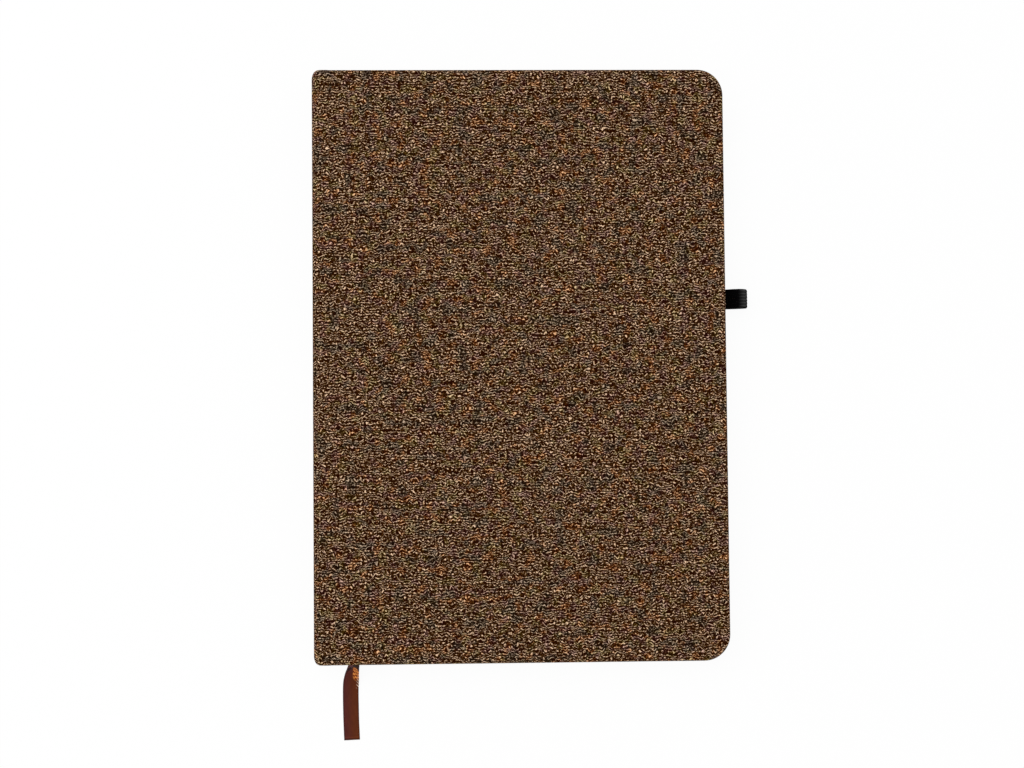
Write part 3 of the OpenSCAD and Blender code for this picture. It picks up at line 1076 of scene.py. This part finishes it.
class NOTEBOOK_OT_bands(bpy.types.Operator):
    """Makes the head and tail bands: a wound bead and its tape"""

    bl_idname = "notebook.bands"
    bl_label = "Head and tail bands"

    # Sides of a bead, the cuts along each turn of its thread and the depth of the grooves
    SIDES, TURN_CUTS, GROOVE = 18, 4, 0.12

    def execute(self, context):
        settings = context.scene.notebook_band
        lo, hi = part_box("head_band")
        material = band_thread(settings, hi.z - lo.z)
        for name, side in (("head", 1), ("tail", -1)):
            bm = self.bead(settings, side, *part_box(f"{name}_band"))
            piece = made(f"{name}_band_thread", bm, material, sharp=70)
            ridden(piece, "book_block", "band", f"{name}_band")
        return {"FINISHED"}

    def bead(self, settings, side, lo, hi):
        """A band: its bead, wound with thread, and its tape down the spine of the pages."""
        radius = settings.bead / 2
        tall = hi.z - lo.z
        edge, tape_end = (hi.y, lo.y) if side > 0 else (lo.y, hi.y)
        middle = Vector((lo.x + radius, edge - side * radius, lo.z))
        bm = bmesh.new()
        bmesh.ops.create_cone(
            bm, cap_ends=True, segments=self.SIDES, radius1=radius, radius2=radius, depth=tall,
            matrix=Matrix.Translation(middle + Vector((0, 0, tall / 2))))
        rings = self.TURN_CUTS * settings.turns
        for k in range(1, rings):
            cut(bm, (0, 0, lo.z + tall * k / rings), (0, 0, 1))
        layer = bm.verts.layers.float_vector.new("strip_run")
        for vert in bm.verts:
            out = (vert.co - middle).xy
            angle = math.atan2(out.y, out.x)
            up = vert.co.z - lo.z
            wave = abs(math.sin(math.pi * settings.turns * up / tall))
            out *= 1 - self.GROOVE + self.GROOVE * wave
            vert.co.xy = middle.xy + out
            vert[layer] = (up, angle * radius, 0)
        tape = bmesh.ops.create_cube(bm, size=1)["verts"]
        lining_lo, lining_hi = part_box("spine_lining")
        low_y, high_y = sorted((tape_end, middle.y))
        fit(tape, (lo.x, low_y, lo.z), (lo.x + lining_hi.x - lining_lo.x, high_y, hi.z))
        for vert in tape:
            vert[layer] = (vert.co.z - lo.z, vert.co.y - middle.y, 0)
        return bm


class NOTEBOOK_OT_pen_loop(bpy.types.Operator):
    """Makes the elastic pen loop"""

    bl_idname = "notebook.pen_loop"
    bl_label = "Pen loop"

    # A teardrop is widest at a third of a turn, where its height is 1 / TEAR
    TEAR = 1.54
    # Clearance below the loop, how much shorter and narrower the fold is, and degrees of a step
    FLOOR, SLACK, NARROW, STEP = 0.3 * MM, 0.17 * MM, 0.08, 6
    # The two ends run straight to this far inside the cover's edge
    INSIDE = 3 * MM

    def execute(self, context):
        settings = context.scene.notebook_loop
        lo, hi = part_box("pen_loop")
        thick = settings.thick
        middle_y = (lo.y + hi.y) / 2
        tail_z = SLAB_T - thick
        reach = hi.x - FORE_X - self.SLACK
        side_t = 0.75 * thick
        rise = hi.z - tail_z - side_t
        fall = tail_z - self.FLOOR - side_t
        ends = (lo.x, FORE_X - self.INSIDE)
        points = [Vector((x, middle_y, tail_z + thick / 2)) for x in ends]
        for turn in range(0, 361, self.STEP):
            a = math.radians(turn)
            bulge = self.TEAR * math.sin(a) * math.sin(a / 2) ** 2
            x = (reach - thick / 2) * (1 - math.cos(a)) / 2
            z = thick / 2 * math.cos(a / 2) + (rise if turn < 180 else fall) * bulge
            points.append(Vector((FORE_X + x, middle_y, tail_z + z)))
        points += [Vector((x, middle_y, tail_z - thick / 2)) for x in reversed(ends)]
        route = Route(points, step=0.5 * MM, most=6)
        turns = settings.cords

        def cords(across):
            """Thick at each cord, thin between cords and at the two edges."""
            wave = abs(math.cos(math.pi * turns * (across + 1) / 2 + math.pi / 2))
            return (0.72 + 0.28 * wave) * (1 - 0.3 * abs(across) ** 10)

        bm = strip(route, settings.width, thick * 0.99, Vector((0, 1, 0)), 8 * turns, cords)
        for vert in bm.verts:
            out = smooth((vert.co.x - FORE_X) / reach)
            vert.co.y = middle_y + (vert.co.y - middle_y) * (1 - self.NARROW * out)
        piece = made("pen_loop_elastic", bm, elastic(settings, FORE_X + reach), sharp=70)
        ridden(piece, "back_cover", "elastic", "pen_loop")
        return {"FINISHED"}


class NOTEBOOK_OT_boards(bpy.types.Operator):
    """Gives the boards, the card and the linings their finishes"""

    bl_idname = "notebook.boards"
    bl_label = "Boards and linings"

    def execute(self, context):
        board, lining = grey_board(), crash_cloth()
        finishes = {
            "front_board": board, "back_board": board, "spine_card": board,
            "front_joint_strip": lining, "back_joint_strip": lining, "spine_lining": lining}
        for name, material in finishes.items():
            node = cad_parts[name]
            node.data.materials.clear()
            node.data.materials.append(material)
        return {"FINISHED"}


STEPS = (
    NOTEBOOK_OT_stage, NOTEBOOK_OT_ribbon, NOTEBOOK_OT_covers, NOTEBOOK_OT_spine,
    NOTEBOOK_OT_endpapers, NOTEBOOK_OT_pages, NOTEBOOK_OT_bands, NOTEBOOK_OT_pen_loop,
    NOTEBOOK_OT_boards)

SETTINGS = {
    "notebook_cover": CoverSettings, "notebook_tweed": TweedSettings,
    "notebook_paper": PaperSettings, "notebook_band": BandSettings,
    "notebook_loop": LoopSettings, "notebook_ribbon": RibbonSettings,
    "notebook_stage": StageSettings}


class NOTEBOOK_PT_panel(bpy.types.Panel):
    """Lists the notebook's pieces and their settings"""

    bl_idname = "NOTEBOOK_PT_panel"
    bl_label = "Notebook"
    bl_space_type = "VIEW_3D"
    bl_region_type = "UI"
    bl_category = "Notebook"

    def draw(self, context):
        for step in STEPS:
            self.layout.operator(step.bl_idname)
        for name, group in SETTINGS.items():
            box = self.layout.box()
            settings = getattr(context.scene, name)
            for key in group.__annotations__:
                box.prop(settings, key)


KINDS = (*SETTINGS.values(), *STEPS, NOTEBOOK_PT_panel)


def register():
    for kind in KINDS:
        bpy.utils.register_class(kind)
    for name, group in SETTINGS.items():
        setattr(bpy.types.Scene, name, PointerProperty(type=group))


def unregister():
    for name in SETTINGS:
        delattr(bpy.types.Scene, name)
    for kind in reversed(KINDS):
        bpy.utils.unregister_class(kind)


def main():
    register()
    for step in STEPS:
        group, name = step.bl_idname.split(".")
        getattr(getattr(bpy.ops, group), name)()


if __name__ == "__main__":
    main()
